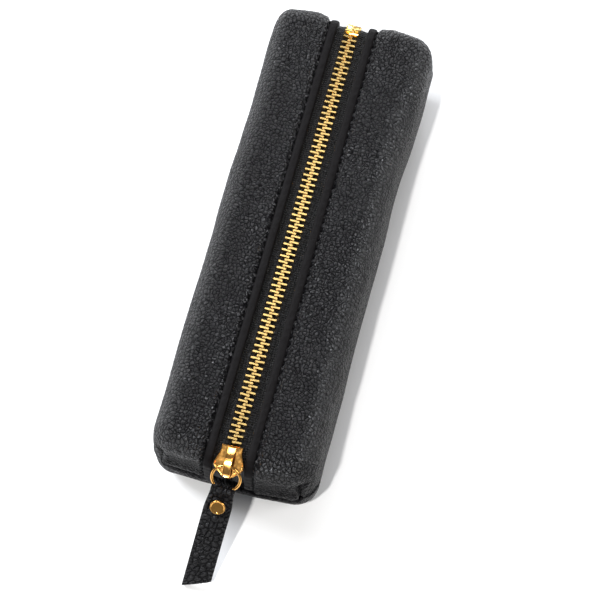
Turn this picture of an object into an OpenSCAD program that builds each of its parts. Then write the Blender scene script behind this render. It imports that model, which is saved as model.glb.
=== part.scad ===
// Zipped leather case for fountain pens: a boxed soft leather body with padded
// walls, a metal zip along the top, and a ring and leather strap on the slider.
// The origin is on the surface the case rests on, under the middle of the body.
// +Y points to the far end, away from the strap, and +Z is up. Millimetres.

/* [Body] */
// Length of the leather body over its two ends
case_l = 195; // [160:1:235]
// Width of the leather body over its two sides
case_w = 62.6; // [58:0.2:78]
// Height of the leather top above the rest surface
case_h = 41.7; // [38:0.1:54]
// Rounding of the two long top edges
long_edge_r = 7; // [5:0.5:9]
// Rounding of the top edge at each end
end_edge_r = 8; // [6.5:0.5:9]
// Rounding of the four bottom edges
base_edge_r = 4; // [2.5:0.5:4.5]
// Rounding of the four upright corners, seen from above
corner_r = 6; // [4.5:0.5:8]
// Height of the seam that crosses each end
end_seam_z = 20; // [16:0.5:22]
// Distance from the centre line to the upright seam at each corner
corner_seam_x = 27; // [25:0.1:27.5]
// Length of body at each end that stays shut when the sides open
end_part_l = 13.5; // [12.5:0.5:18]

/* [Layers] */
// Thickness of the outer leather
leather_t = 1.5; // [1.2:0.1:1.8]
// Thickness of the foam between leather and lining
padding_t = 2; // [1.6:0.1:2.4]
// Thickness of the lining cloth
lining_t = 0.5; // [0.3:0.1:0.7]
// Height of each leather edge band above the leather it is sewn to
band_h = 0.45; // [0.3:0.05:0.7]
// Width of the smooth band along each side of the zip
band_w = 2.1; // [1.6:0.1:2.4]

/* [Zip] */
// Distance from the centre line to the leather on each side of the zip
zip_gap = 6.6; // [6.5:0.1:7]
// Distance between neighbouring teeth on one side
tooth_pitch = 2.54; // [2.4:0.01:2.8]
// Length of a tooth from its nose to its outer edge
tooth_l = 3.9; // [3.5:0.1:4.1]
// Height of a tooth through the tape
tooth_h = 2.6; // [2.3:0.1:2.7]
// Thickness of a tooth's head along the zip
tooth_head_t = 0.95; // [0.8:0.01:0.98]
// Thickness of the woven tape
tape_t = 0.6; // [0.4:0.1:0.8]
// Width of one tape
tape_w = 12.5; // [11:0.5:14]

/* [Slider] */
// Length of the slider body
slider_l = 12; // [11.5:0.1:12.5]
// Angle at which the slider tips over the near end, in degrees
slider_tip = 14; // [10:0.5:16]
// Distance from the near end of the body to the rear of the slider
slider_back = 9.3; // [9:0.1:10.5]
// Angle the slider is turned to one side by its play, in degrees
slider_turn = 2; // [0:0.5:2]
// Width of the raised cap that holds the ring
cap_w = 3.1; // [2.6:0.1:3.3]
// Thickness of each slider plate
plate_t = 1; // [0.8:0.05:1.1]

/* [Pull] */
// Radius of the pull ring, to the middle of its wire
ring_r = 5.4; // [5.2:0.1:5.8]
// Thickness of the ring's wire
ring_wire = 1.1; // [1:0.05:1.2]
// Slope of the hanging ring below level, in degrees
ring_slope = 52; // [48:1:54]
// Angle by which the strap hangs round the ring to one side, in degrees
strap_turn = 6; // [0:0.2:8]
// Slope of the strap below level, in degrees
strap_slope = 47; // [44:0.5:47]
// Length of the strap's long edge, from the wire's middle
strap_l = 45.5; // [36:0.5:45.5]
// Width of the strap
strap_w = 10.5; // [9:0.1:11]
// Thickness of one leather layer of the strap
strap_t = 1.1; // [0.9:0.1:1.2]
// Amount the strap's end is cut back on its short edge
strap_skew = 5.5; // [0:0.5:7]
// Radius of the rivet's cap
rivet_r = 2.9; // [2.4:0.1:3.2]
// Distance from the wire's middle to the rivet's middle
rivet_at = 6.8; // [6.4:0.1:8]

/* [Sewing] */
// Distance between neighbouring stitches
stitch_pitch = 3.8; // [3.2:0.1:4.5]
// Thickness of the sewing thread
thread_t = 0.7; // [0.5:0.05:0.8]
// Width of the open seam that the thread closes at each end
seam_w = 0.8; // [0.6:0.1:1]

/* [Hidden] */
$fn = 48;
half_l = case_l / 2;
half_w = case_w / 2;
move_gap = 0.15;
skin_gap = 0.03;
far_reach = 400;
end_part_y = half_l - end_part_l;
fold_z = base_edge_r + 1;
pad_in = leather_t + padding_t;
lining_in = pad_in + lining_t;
zip_depth = leather_t + tape_t / 2;
zip_z = case_h - zip_depth;
zip_bend_r = end_edge_r - zip_depth;
zip_bend_y = half_l - end_edge_r;
zip_drop = case_h - end_edge_r - end_seam_z - 1.6;
slider_y = -half_l + slider_back;
row_start = slider_y + 0.9;
row_flat = zip_bend_y - row_start;
row_bend = zip_bend_r * PI / 2;
row_len = row_flat + row_bend + zip_drop;
tooth_count = floor((row_len - tooth_pitch) / tooth_pitch);
tooth_past = tooth_l - 2.8;
tape_in = tooth_past + 0.15;
channel_h = tooth_h / 2 + 0.15;
plate_top = channel_h + plate_t;
wire_r = ring_wire / 2;
bail_y = -8;
bail_z = plate_top + 1.9;
strap_bore = wire_r + 0.35;
strap_out = strap_bore + strap_t;
stitch_x = zip_gap + band_w + 0.5;
stitch_len = stitch_pitch * 0.72;
stitch_count = 2 * floor((zip_bend_y - 2) / stitch_pitch) + 1;

// A rectangle from (a, b) to (c, d) whose top and bottom corners are rounded.
module round_rect(a, b, c, d, r_low, r_top) {
    translate([a + r_top, b + r_low]) square([c - a - 2 * r_top, d - b - r_low]);
    translate([a + r_low, b]) square([c - a - 2 * r_low, d - b - r_top]);
    translate([a, b + r_low]) square([c - a, d - b - r_low - r_top]);
    for (x = [a + r_low, c - r_low]) translate([x, b + r_low]) circle(r_low);
    for (x = [a + r_top, c - r_top]) translate([x, d - r_top]) circle(r_top);
}

// The body's outer form, moved inward by a distance on every side.
module form(in) {
    intersection() {
        translate([0, far_reach / 2, 0]) rotate([90, 0, 0]) linear_extrude(far_reach)
            round_rect(-half_w + in, in, half_w - in, case_h - in,
                       base_edge_r - min(in, base_edge_r - 0.5), long_edge_r - in);
        end_profile(in, -far_reach / 2, far_reach);
        translate([0, 0, -1]) linear_extrude(far_reach)
            round_rect(-half_w + in, -half_l + in, half_w - in, half_l - in,
                       corner_r - in, corner_r - in);
    }
}

// The body's side view, moved inward and extruded across the body.
module end_profile(in, x0, width) {
    translate([x0, 0, 0]) rotate([90, 0, 90]) linear_extrude(width)
        round_rect(-half_l + in, in, half_l - in, case_h - in,
                   base_edge_r - min(in, base_edge_r - 0.5), end_edge_r - in);
}

// One layer of the body, between two depths below its outer form.
module layer(out, in) {
    difference() {
        form(out);
        form(in);
    }
}

// A box given by its two corners.
module span(lo, hi) {
    translate(lo) cube(hi - lo);
}

// The space that moves with the right side; the left side is its mirror image.
module side_space(x0, z_top) {
    span([x0, -end_part_y + move_gap, fold_z + move_gap],
         [far_reach, end_part_y - move_gap, z_top]);
}

// The upper leather of the far end, right half, before mirroring.
module end_space() {
    span([zip_gap, end_part_y, end_seam_z + seam_w / 2],
         [corner_seam_x - seam_w / 2, far_reach, far_reach]);
}

module leather_wrap() {
    color("#2c2b31") difference() {
        layer(0, leather_t);
        span([-far_reach, -end_part_y, fold_z], [far_reach, end_part_y, far_reach]);
        for (s = [0, 1]) mirror([0, s, 0])
            span([-corner_seam_x - seam_w / 2, end_part_y - 1, end_seam_z - seam_w / 2],
                 [corner_seam_x + seam_w / 2, far_reach, far_reach]);
    }
}

module end_leather(sx, sy) {
    color("#2c2b31") mirror([sx, 0, 0]) mirror([0, sy, 0]) intersection() {
        layer(0, leather_t);
        end_space();
    }
}

module near_end_left() { end_leather(1, 1); }
module near_end_right() { end_leather(0, 1); }
module far_end_left() { end_leather(1, 0); }
module far_end_right() { end_leather(0, 0); }

// The thread and turned edges that close the seam across one end.
module end_seam(sy) {
    color("#141416") mirror([0, sy, 0]) intersection() {
        layer(0.4, leather_t);
        span([-corner_seam_x + seam_w / 2, end_part_y, end_seam_z - seam_w / 2],
             [corner_seam_x - seam_w / 2, far_reach, end_seam_z + seam_w / 2]);
    }
}

module near_end_seam() { end_seam(1); }
module far_end_seam() { end_seam(0); }

module corner_seams() {
    color("#141416") for (sx = [0, 1]) for (sy = [0, 1])
        mirror([sx, 0, 0]) mirror([0, sy, 0]) intersection() {
            layer(0.4, leather_t);
            span([corner_seam_x - seam_w / 2, end_part_y, end_seam_z - seam_w / 2],
                 [corner_seam_x + seam_w / 2, far_reach, far_reach]);
        }
}

module base_padding() {
    color("#55565a") difference() {
        layer(leather_t, pad_in);
        span([-far_reach, -end_part_y, fold_z], [far_reach, end_part_y, far_reach]);
        span([-far_reach, -far_reach, end_seam_z - 1], [far_reach, far_reach, far_reach]);
    }
}

module base_lining() {
    color("#3a3a3e") difference() {
        layer(pad_in, lining_in);
        span([-far_reach, -end_part_y, fold_z], [far_reach, end_part_y, far_reach]);
        span([-far_reach, -far_reach, case_h - end_edge_r - 1],
             [far_reach, far_reach, far_reach]);
    }
}

module side_leather(s) {
    color("#2c2b31") mirror([s, 0, 0]) intersection() {
        layer(0, leather_t);
        side_space(zip_gap, far_reach);
    }
}

module left_side_leather() { side_leather(1); }
module right_side_leather() { side_leather(0); }

module side_padding(s) {
    color("#55565a") mirror([s, 0, 0]) intersection() {
        layer(leather_t, pad_in);
        side_space(tape_in + tape_w + 0.2, far_reach);
    }
}

module left_side_padding() { side_padding(1); }
module right_side_padding() { side_padding(0); }

module side_lining(s) {
    color("#3a3a3e") mirror([s, 0, 0]) intersection() {
        layer(pad_in, lining_in);
        side_space(zip_gap + 1.8, far_reach);
    }
}

module left_side_lining() { side_lining(1); }
module right_side_lining() { side_lining(0); }

// A strip that runs down one end, along the top and down the other end.
module zip_strip(out, in, x0, x1) {
    difference() {
        end_profile(out, x0, x1 - x0);
        end_profile(in, x0 - 1, x1 - x0 + 2);
        span([x0 - 1, -far_reach, -1], [x1 + 1, far_reach, end_seam_z + 0.6]);
    }
}

module edge_band(s) {
    color("#242227") mirror([s, 0, 0])
        zip_strip(-band_h, -skin_gap, zip_gap, zip_gap + band_w);
}

module left_edge_band() { edge_band(1); }
module right_edge_band() { edge_band(0); }

// Stitches lie on the leather just outside the band, thread after thread.
module topstitch(s) {
    color("#141416") mirror([s, 0, 0])
        for (i = [0 : stitch_count - 1])
            translate([stitch_x, (i - (stitch_count - 1) / 2) * stitch_pitch,
                       case_h + skin_gap + thread_t / 2])
                rotate([90, 0, 0]) cylinder(h = stitch_len, d = thread_t, center = true,
                                            $fn = 16);
}

module left_topstitch() { topstitch(1); }
module right_topstitch() { topstitch(0); }

module tape(s) {
    color("#18181b") mirror([s, 0, 0]) difference() {
        zip_strip(leather_t + skin_gap, leather_t + tape_t, tape_in, tape_in + tape_w);
        span([-1, -far_reach, case_h - end_edge_r - 2],
             [zip_gap, slider_y + 0.6, far_reach]);
    }
}

module left_tape() { tape(1); }
module right_tape() { tape(0); }

// Moves its children to a place on the zip, measured from the row's start.
module on_zip(s) {
    if (s < row_flat)
        translate([0, row_start + s, zip_z]) children();
    else if (s < row_flat + row_bend)
        translate([0, zip_bend_y, case_h - end_edge_r])
            rotate([-(s - row_flat) / row_bend * 90, 0, 0])
                translate([0, 0, zip_bend_r]) children();
    else
        translate([0, half_l - zip_depth,
                   case_h - end_edge_r - (s - row_flat - row_bend)])
            rotate([-90, 0, 0]) children();
}

// One tooth: a head past the centre line and two legs that grip the tape.
module tooth() {
    foot = tooth_l - tooth_past;
    head_z = tooth_h / 2 - 0.15;
    translate([-tooth_past, -tooth_head_t / 2, -head_z])
        cube([tooth_past + tape_in + 0.2, tooth_head_t, 2 * head_z]);
    for (m = [0, 1]) mirror([0, 0, m])
        translate([tape_in - 0.1, -0.55, tape_t / 2 + skin_gap])
            cube([foot - tape_in + 0.1, 1.1, tooth_h / 2 - tape_t / 2 - skin_gap]);
}

module teeth(s) {
    color("#c9a24a") mirror([s, 0, 0]) for (i = [0 : tooth_count - 1])
        on_zip((i + 0.5 + s / 2) * tooth_pitch)
            difference() {
                tooth();
                translate([tape_in - 0.05, -2, -tape_t / 2 - skin_gap])
                    cube([9, 4, tape_t + 2 * skin_gap]);
            }
}

module left_teeth() { teeth(1); }
module right_teeth() { teeth(0); }

// The slider's own frame: origin on the zip at the slider's rear.
module slider_frame() {
    translate([0, slider_y, zip_z]) rotate([slider_tip, 0, slider_turn]) children();
}

// Half widths of the slider plate at distances from its rear.
plate_shape = [[3.9, 0], [3.9, -2.2], [4.3, -3.4], [5, -5.1], [5.7, -6.6],
               [5.75, -7.4], [5, -8.7], [3.7, -9.7], [2.6, -10.8], [1.4, -11.7],
               [0.7, -12]];

module plate_2d(in) {
    k = slider_l / 12;
    right = [for (p = plate_shape) [max(p[0] - in, 0.2), p[1] * k]];
    left = [for (i = [len(plate_shape) - 1 : -1 : 0]) [-right[i][0], right[i][1]]];
    polygon(concat(right, left));
}

module slider_body() {
    color("#d8b25a") slider_frame() {
        for (m = [0, 1]) mirror([0, 0, m]) {
            translate([0, 0, channel_h]) linear_extrude(plate_t) plate_2d(0);
            translate([0, 0, tape_t / 2 + 0.25])
                linear_extrude(channel_h - tape_t / 2 - 0.25) intersection() {
                    difference() {
                        plate_2d(0);
                        plate_2d(0.8);
                    }
                    translate([-9, -6.4]) square([18, 6.4]);
                }
        }
        translate([0, 0, -channel_h - 0.1]) linear_extrude(2 * channel_h + 0.2)
            polygon([[0, -11.2], [1.5, -9.4], [0, -6.6], [-1.5, -9.4]]);
    }
}

module slider_cap() {
    color("#dcb860") slider_frame() translate([-cap_w / 2, 0, plate_top])
        rotate([90, 0, 90]) linear_extrude(cap_w) difference() {
            polygon([[-0.8, 0], [-1, 0.8], [-4.9, 3.5], [-6.1, 3.7], [-11, 2.8],
                     [-11.6, 2], [-11.6, 0]]);
            polygon([[-3.2, -1], [-3.2, 0.6], [-5.4, 2.75], [-6.2, 3.08], [-10, 2.45],
                     [-10.6, 1.7], [-10.6, -1]]);
        }
}

// The sprung pawl that drops between the teeth when the ring is released.
module lock_pawl() {
    color("#8f8f92") slider_frame() translate([-0.5, 0, plate_top])
        rotate([90, 0, 90]) linear_extrude(1)
            polygon([[-3.2, 0], [-3.25, 0.55], [-5.1, 2.25], [-5.4, 2], [-4.2, 0.8],
                     [-4, 0]]);
}

// The ring's frame: origin on its wire under the cap, -Y along the ring's slope.
module ring_frame() {
    slider_frame() translate([0, bail_y, bail_z])
        rotate([ring_slope - slider_tip, 0, 0]) children();
}

module pull_ring() {
    color("#e0c079") ring_frame() translate([0, -ring_r, 0])
        rotate_extrude() translate([ring_r, 0]) circle(wire_r, $fn = 24);
}

// The strap's frame: origin in the middle of the wire it hangs from.
module strap_frame() {
    ring_frame() translate([0, -ring_r, 0]) rotate([0, 0, -strap_turn])
        translate([0, -ring_r, 0]) rotate([strap_slope - ring_slope, 0, 0]) children();
}

module pull_strap() {
    inner = strap_out - strap_t;
    color("#26252a") strap_frame() difference() {
        union() {
            rotate([0, 90, 0]) cylinder(h = strap_w - 2, r = strap_out, center = true);
            translate([0, 0, -strap_out]) linear_extrude(2 * strap_out)
                polygon([[-strap_w / 2 + 1, 0], [strap_w / 2 - 1, 0],
                         [strap_w / 2, -strap_out - 0.6],
                         [strap_w / 2, -strap_l + strap_skew],
                         [-strap_w / 2, -strap_l],
                         [-strap_w / 2, -strap_out - 0.6]]);
        }
        rotate([0, 90, 0]) cylinder(h = strap_w + 2, r = inner, center = true);
        rotate([ring_slope - strap_slope, 0, 0]) translate([0, ring_r, 0])
            rotate_extrude() translate([ring_r, 0]) circle(wire_r + 0.15, $fn = 24);
        for (m = [0, 1]) mirror([0, 0, m])
            translate([-strap_w, -far_reach, strap_t])
                cube([2 * strap_w, far_reach - inner - 0.9, 9]);
        translate([0, -rivet_at, -9]) cylinder(h = 18, r = 1.1);
    }
}

module rivet_cap() {
    color("#d8b25a") strap_frame() translate([0, -rivet_at, strap_t]) {
        cylinder(h = 0.6, r = rivet_r);
        translate([0, 0, 0.6]) difference() {
            cylinder(h = 0.3, r = rivet_r - 0.1);
            translate([0, 0, -1]) cylinder(h = 3, r = rivet_r - 0.5);
        }
    }
}

module rivet_post() {
    color("#c9a24a") strap_frame() translate([0, -rivet_at, 0]) {
        translate([0, 0, -strap_t]) cylinder(h = 2 * strap_t, r = 1.1);
        translate([0, 0, -strap_t - 0.4]) cylinder(h = 0.4, r = rivet_r - 0.3);
    }
}

leather_wrap();
near_end_left();
near_end_right();
far_end_left();
far_end_right();
near_end_seam();
far_end_seam();
corner_seams();
base_padding();
base_lining();
left_side_leather();
right_side_leather();
left_side_padding();
right_side_padding();
left_side_lining();
right_side_lining();
left_edge_band();
right_edge_band();
left_topstitch();
right_topstitch();
left_tape();
right_tape();
left_teeth();
right_teeth();
slider_body();
slider_cap();
lock_pawl();
pull_ring();
pull_strap();
rivet_cap();
rivet_post();
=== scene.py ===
import math

import bmesh
import bpy
import numpy as np
from bpy.props import FloatProperty, FloatVectorProperty, IntProperty, PointerProperty
from mathutils import Matrix, Vector


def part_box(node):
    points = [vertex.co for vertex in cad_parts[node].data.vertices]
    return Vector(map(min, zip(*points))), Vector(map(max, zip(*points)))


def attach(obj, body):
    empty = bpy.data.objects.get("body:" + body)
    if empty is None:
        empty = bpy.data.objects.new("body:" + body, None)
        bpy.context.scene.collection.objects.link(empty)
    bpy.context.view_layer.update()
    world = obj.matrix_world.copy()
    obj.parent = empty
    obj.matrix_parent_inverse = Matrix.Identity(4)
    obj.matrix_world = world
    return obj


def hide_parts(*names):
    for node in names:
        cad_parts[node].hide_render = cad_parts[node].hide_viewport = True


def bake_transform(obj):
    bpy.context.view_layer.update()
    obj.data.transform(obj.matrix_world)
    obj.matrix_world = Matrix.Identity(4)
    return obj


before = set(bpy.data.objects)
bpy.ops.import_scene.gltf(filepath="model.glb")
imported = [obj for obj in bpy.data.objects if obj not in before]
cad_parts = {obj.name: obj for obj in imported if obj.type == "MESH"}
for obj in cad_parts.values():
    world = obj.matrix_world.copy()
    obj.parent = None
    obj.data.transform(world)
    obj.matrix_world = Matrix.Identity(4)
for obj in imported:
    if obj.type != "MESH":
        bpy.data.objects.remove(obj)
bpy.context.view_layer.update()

bl_info = {
    "name": "Fountain pen case",
    "version": (1, 0, 0),
    "blender": (4, 5, 0),
    "location": "View3D > Sidebar > Pen case",
    "description": "A zipped black leather case for fountain pens",
    "category": "Object",
}

MM = 0.001
SIDES = (("left", -1), ("right", 1))

# Places on the CAD frame, in millimetres.
HALF_W, HALF_L = (float(v / MM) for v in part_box("leather_wrap")[1][:2])
TOP_Z = float(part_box("left_side_leather")[1][2] / MM)
SEAM_Z = float(sum(v[2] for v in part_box("near_end_seam")) / 2 / MM)
CORNER_X = float(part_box("corner_seams")[1][0] / MM) - 0.4
FOLD_Z = 5.0
BAND_IN = float(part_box("right_edge_band")[0][0] / MM)


def srgb(text):
    """A shader colour from an sRGB hex string."""
    out = []
    for i in (1, 3, 5):
        c = int(text[i:i + 2], 16) / 255
        out.append(c / 12.92 if c <= 0.04045 else ((c + 0.055) / 1.055) ** 2.4)
    return tuple(out)


# ---------------------------------------------------------------- properties

def length(name, default, low, high, text):
    """A length a user may change, given here in millimetres."""
    return FloatProperty(name=name, default=default * MM, min=low * MM, max=high * MM,
                         subtype="DISTANCE", unit="LENGTH", description=text)


def colour_of(name, default, text):
    return FloatVectorProperty(name=name, subtype="COLOR", size=3, min=0, max=1,
                               default=srgb(default), description=f"Colour of the {text}")


class PENCASE_Sizes(bpy.types.PropertyGroup):
    """Sizes a user may change."""
    mesh_step: length("Leather mesh step", 0.45, 0.3, 3,
                      "Distance between neighbouring points of the leather")
    grain_cell: length("Grain size", 1.45, 0.5, 4, "Width of one pebble of the leather's grain")
    grain_depth: length("Grain depth", 0.24, 0.0, 0.5, "Depth of the creases between pebbles")
    puff: length("Puff", 1.3, 0.0, 3,
                 "How far the padded top swells between the zip and its long edges")
    stitch_pitch: length("Stitch pitch", 3.8, 2, 6, "Distance between neighbouring stitches")
    tooth_pitch: length("Tooth pitch", 2.54, 2, 4, "Distance between teeth on one side")
    seed: IntProperty(
        name="Seed", default=7, min=0, description="Seed of the leather's uneven swelling")


class PENCASE_Colours(bpy.types.PropertyGroup):
    """Colours a user may change."""
    leather: colour_of("Leather", "#0b0a0d", "grained leather")
    band: colour_of("Edge band", "#0c0a0b", "smooth leather along the zip")
    gold: colour_of("Gold", "#e9ad5c", "plated slider, ring and rivet")
    teeth: colour_of("Teeth", "#f6d083", "zip's metal teeth")
    tape: colour_of("Tape", "#050506", "zip's woven tape")
    lining: colour_of("Lining", "#2e2e33", "lining cloth")


# ---------------------------------------------------------------- small help

def feed(tree, node, key, value):
    """Sets a node's input to a value, or joins it to a (node, output) pair."""
    if isinstance(value, tuple) and isinstance(value[0], bpy.types.Node):
        tree.links.new(value[0].outputs[value[1]], node.inputs[key])
    else:
        node.inputs[key].default_value = value


def add_node(tree, kind, at=(0, 0), inputs=None, **values):
    """One shader or geometry node, with its settings and what feeds its inputs."""
    node = tree.nodes.new(kind)
    node.location = at
    for key, value in values.items():
        if hasattr(node, key) and key not in node.inputs:
            setattr(node, key, value)
        else:
            feed(tree, node, key, value)
    for key, value in (inputs or {}).items():
        feed(tree, node, key, value)
    return node


def maths(tree, operation, at, *inputs):
    """A maths node; each input is a number or a (node, output) pair."""
    return add_node(tree, "ShaderNodeMath", at, dict(enumerate(inputs)), operation=operation)


def smooth(t):
    t = np.clip(t, 0, 1)
    return t * t * (3 - 2 * t)


def hill(d, width):
    """A bell curve of the distance d."""
    return np.exp(-(d / width) ** 2)


def ripple(points, length, seed):
    """Smooth uneven noise of about one, over points in millimetres."""
    rng = np.random.default_rng(seed)
    total = np.zeros(len(points))
    for _ in range(9):
        direction = rng.normal(size=3)
        direction /= np.linalg.norm(direction)
        k = 2 * math.pi / (length * rng.uniform(0.75, 1.5))
        total += np.sin(points @ direction * k + rng.uniform(0, 2 * math.pi))
    return total / 3.2


def set_layer(mesh, name, values):
    """A point attribute: vectors from rows of three, numbers from a flat array."""
    values = np.asarray(values, np.float32)
    kind, field = ("FLOAT_VECTOR", "vector") if values.ndim == 2 else ("FLOAT", "value")
    mesh.attributes.new(name, kind, "POINT").data.foreach_set(field, values.ravel())


def make_mesh(name, verts, faces, material=None, rest=None, outer=None, up=None, round_off=True):
    """A mesh object from points in millimetres and faces as index lists."""
    mesh = bpy.data.meshes.new(name)
    verts = np.asarray(verts, float) * MM
    if isinstance(faces, np.ndarray):
        mesh.vertices.add(len(verts))
        mesh.vertices.foreach_set("co", verts.astype(np.float32).ravel())
        mesh.loops.add(faces.size)
        mesh.loops.foreach_set("vertex_index", faces.astype(np.int32).ravel())
        mesh.polygons.add(len(faces))
        starts = np.arange(len(faces)) * faces.shape[1]
        mesh.polygons.foreach_set("loop_start", starts.astype(np.int32))
        mesh.update(calc_edges=True)
        mesh.validate()
    else:
        mesh.from_pydata([tuple(v) for v in verts], [], [list(f) for f in faces])
        mesh.update()
    if round_off:
        mesh.polygons.foreach_set("use_smooth", np.ones(len(mesh.polygons), bool))
    if rest is not None:
        set_layer(mesh, "rest", np.asarray(rest) * MM)
    if up is not None:
        set_layer(mesh, "up", up)
    if outer is not None:
        set_layer(mesh, "outer", outer)
    if material is not None:
        mesh.materials.append(material)
    return link(name, mesh)


def link(name, data):
    obj = bpy.data.objects.new(name, data)
    bpy.context.scene.collection.objects.link(obj)
    return obj


def grid_faces(rows, cols, wrap=False, start=0):
    """Quads over a grid of points; wrap closes it round its columns."""
    i, j = np.meshgrid(np.arange(rows - 1), np.arange(cols if wrap else cols - 1), indexing="ij")
    k = (j + 1) % cols
    quads = np.stack([i * cols + j, i * cols + k, (i + 1) * cols + k, (i + 1) * cols + j], -1)
    return quads.reshape(-1, 4) + start


def tube_faces(rows, cols):
    """Faces of a closed tube: quads round its rings and a cap at both ends."""
    faces = [list(f) for f in grid_faces(rows, cols, wrap=True)]
    return faces + [list(range(cols))[::-1], [(rows - 1) * cols + k for k in range(cols)]]


# ------------------------------------------------------------- body's surface

SHAPE_L = HALF_L - 2.2
R_SIDE = 7.5
R_BASE = 4.5
STITCH_X = BAND_IN + 3.2
STITCH_START = 2.5
STITCH_SHARE = 0.7
NEAR_BEND = ((0, -84, 0), (0, -30, 0))
FAR_BEND = ((0, 70, 0), (0, 18, 0))
HALVES = (("near", -SHAPE_L, NEAR_BEND), ("far", SHAPE_L, FAR_BEND))


def rounded(box):
    """The rounded body: place, normal and the share of each normal, from box points."""
    x, y, z = box.T
    wide = smooth((np.abs(x) - 9) / 12)
    r_end = 6.5 + 3.5 * wide
    r_top = 6.5 + 2.5 * wide
    upper = z > TOP_Z / 2
    r_base = R_BASE + 6.0 * smooth((np.abs(y) - SHAPE_L + 14) / 12)
    square = smooth((y - 60) / 30) * wide
    r_top = r_top - 2.0 * square
    rz = np.where(upper, r_top, r_base)
    ry = np.where(upper, r_end, 7.5) - 4.0 * square
    rx = R_SIDE - 2.0 * square
    cx = np.clip(x, -HALF_W + rx, HALF_W - rx)
    cy = np.clip(y, -SHAPE_L + ry, SHAPE_L - ry)
    cz = np.clip(z, r_base, TOP_Z - r_top)
    d = np.stack([(x - cx) / rx, (y - cy) / ry, (z - cz) / rz], -1)
    length = np.maximum(np.linalg.norm(d, axis=1, keepdims=True), 1e-9)
    unit = d / length
    r = np.stack([rx, ry, rz], -1)
    place = np.stack([cx, cy, cz], -1) + unit * r
    normal = unit / r
    normal /= np.linalg.norm(normal, axis=1, keepdims=True)
    return place, normal


def swell(place, normal, puff, seed):
    """How far the padding pushes the leather out, without seams."""
    x, y, z = place.T
    up = np.clip(normal[:, 2], 0, 1)
    side = np.abs(normal[:, 0])
    end = np.abs(normal[:, 1])
    near = hill(y + 88, 16)
    t = np.clip((np.abs(x) - BAND_IN - 2) / (HALF_W - BAND_IN - 2), 0, 1)
    lobe = np.sin(math.pi * t ** 0.75) * puff * (1 + 0.7 * near)
    wall = np.sin(math.pi * np.clip(z / TOP_Z, 0, 1)) * (0.8 + 0.9 * smooth(x / 20))
    wall = wall + 1.8 * smooth(x / 20) * smooth((y - 30) / 50) * smooth(z / 20)
    across = np.cos(np.clip(x / HALF_W, -1, 1) * math.pi / 2)
    bulge = 2.3 * across ** 0.8 + 0.5 * np.sin(math.pi * np.clip(z / TOP_Z, 0, 1))
    bulge = bulge + 2.2 * smooth((np.abs(x) - 8) / 8) * (y > 0) * smooth(z / 20)
    bulge = (bulge - 1.7 * smooth((6 - x) / 14) * (y < 0)) * smooth((z - 2) / 17)
    uneven = ripple(place, 46, seed) * 0.32 + ripple(place, 17, seed + 1) * 0.12
    flat = smooth(z / 6) * smooth((np.abs(x) - BAND_IN - 1) / 6)
    return lobe * up ** 0.8 + wall * side ** 2 + bulge * end ** 2 + uneven * flat


def stitch_pull(place):
    """From 0 between two stitches to 1 in the middle of a stitch."""
    pitch = bpy.context.scene.pencase_sizes.stitch_pitch / MM
    path, normal = zip_path(0.0)
    along = path_length(path)
    top = normal[:, 2] > 0.9
    s = np.interp(place[:, 1], path[top, 1], along[top]) - along[0] - STITCH_START
    return (0.5 + 0.5 * np.cos(2 * math.pi * s / pitch)) ** 0.7


def seams(place, normal):
    """How far stitch lines and seams pull the leather in."""
    x, y, z = place.T
    ax = np.abs(x)
    end = smooth((np.abs(normal[:, 1]) - 0.35) / 0.4)
    level = z - SEAM_Z
    reach = 1 - smooth((ax - CORNER_X) / 1.6)
    seam = 2.6 * hill(level, 0.85) - 0.85 * hill(np.abs(level) - 3.4, 2.2)
    out = seam * end * reach
    climb = smooth((z - SEAM_Z + 1) / 1.5) * (1 - smooth((z - SEAM_Z - 10.5) / 3))
    corner = 1.5 * hill(ax - CORNER_X, 0.55) - 0.35 * hill(np.abs(ax - CORNER_X) - 2.2, 1.4)
    out += corner * climb * smooth((np.abs(normal[:, 1]) - 0.1) / 0.3)
    notch = hill(ax - CORNER_X, 1.7) * hill(z - SEAM_Z - 12, 2.2)
    out += 1.1 * (notch * smooth(np.abs(normal[:, 1]) / 0.2))
    row = np.maximum(np.clip(normal[:, 2], 0, 1), end * (z > SEAM_Z))
    pull = 0.1 + 1.2 * stitch_pull(place)
    line = pull * hill(ax - STITCH_X, 0.6) - 0.35 * hill(ax - STITCH_X - 1.7, 0.9)
    under = 0.45 * smooth((STITCH_X - 0.2 - ax) / 0.6)
    out += (line + under) * row
    return out


def shell(name, patches, thick, material, depth=0.0, puff=1.3, seed=7, plain=False):
    """A closed sheet of even thickness over patches of box points."""
    points, quads, start = [], [], 0
    for grid in patches:
        rows, cols = grid.shape[:2]
        points.append(grid.reshape(-1, 3))
        quads.append(grid_faces(rows, cols, start=start))
        start += rows * cols
    points, quads = np.concatenate(points), np.concatenate(quads)
    _, first, index = np.unique(
        np.round(points, 4), axis=0, return_index=True, return_inverse=True)
    box = points[first]
    quads = index.reshape(-1)[quads]
    place, normal = rounded(box)
    push = swell(place, normal, puff, seed)
    pulled = 0 if plain else seams(place, normal)
    outer = place + normal * (push - depth - pulled)[:, None]
    inner = place + normal * (0.9 * push - depth - thick - 0.6 * pulled)[:, None]
    n = len(box)
    flip = quad_flip(place, normal, quads)
    quads[flip] = quads[flip][:, ::-1]
    return make_mesh(name, np.concatenate([outer, inner]), two_sided(quads, n), material,
                     rest=np.concatenate([place, place - normal * thick]),
                     outer=np.concatenate([np.ones(n), np.zeros(n)]),
                     up=np.concatenate([normal, normal]))


def quad_flip(place, normal, quads):
    """Which quads face against their points' normals."""
    a, b, c, d = (place[quads[:, k]] for k in range(4))
    face = np.cross(c - a, d - b)
    return (face * normal[quads].sum(1)).sum(1) < 0


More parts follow.
